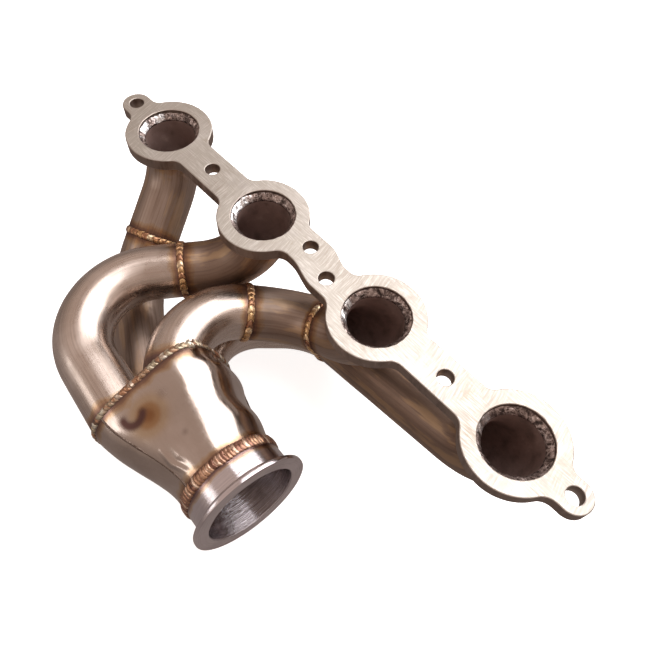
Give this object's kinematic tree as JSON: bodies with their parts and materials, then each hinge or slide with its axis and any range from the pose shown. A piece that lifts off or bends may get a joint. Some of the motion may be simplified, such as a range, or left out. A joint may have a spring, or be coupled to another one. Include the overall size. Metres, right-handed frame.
{
  "type": "exhaust manifold",
  "caption": "Welded tubular exhaust manifold: a flat head flange, bent runners crossing under one another into a formed merge collector, and a round clamp-type outlet flange.",
  "frame": {"origin": "centre of the head flange's gasket face, midway between ports 2 and 3", "axes": "+X along the row of ports towards port 4 and the outlet side, +Z out of the gasket face towards the cylinder head, runners hang towards -Z and -Y"},
  "size_m": [0.44, 0.2111, 0.1273],
  "materials": {
    "flange": "flat ground stainless plate with curved grinding lines and light stains",
    "tube": "polished and finely brushed stainless tube, straw heat tint by the welds",
    "shell": "mirror-polished stainless shell with straw and purple heat tint by the welds",
    "outlet": "machined stainless ring with fine turning lines",
    "butt_weld": "rippled gold and copper weld bead",
    "port_weld": "rough grey inner weld with bright chips",
    "collector_weld": "rough rippled weld bead, copper to grey"
  },
  "bodies": {
    "root": {"head_flange": "flange", "runner_1_upper": "tube", "runner_1_lower": "tube", "runner_2_port_bend": "tube", "runner_2_u_bend": "tube", "runner_3_port_bend": "tube", "runner_3_link_bend": "tube", "runner_3_u_bend": "tube", "runner_4_long_run": "tube", "runner_4_u_bend": "tube", "butt_weld_1": "butt_weld", "butt_weld_2": "butt_weld", "butt_weld_3a": "butt_weld", "butt_weld_3b": "butt_weld", "butt_weld_4": "butt_weld", "port_weld_1": "port_weld", "port_weld_2": "port_weld", "port_weld_3": "port_weld", "port_weld_4": "port_weld", "collector_upper_shell": "shell", "collector_lower_shell": "shell", "collector_seam_weld_outer": "collector_weld", "collector_seam_weld_inner": "collector_weld", "collector_inlet_weld": "collector_weld", "collector_outlet_weld": "collector_weld", "outlet_flange": "outlet"}
  },
  "joints": []
}
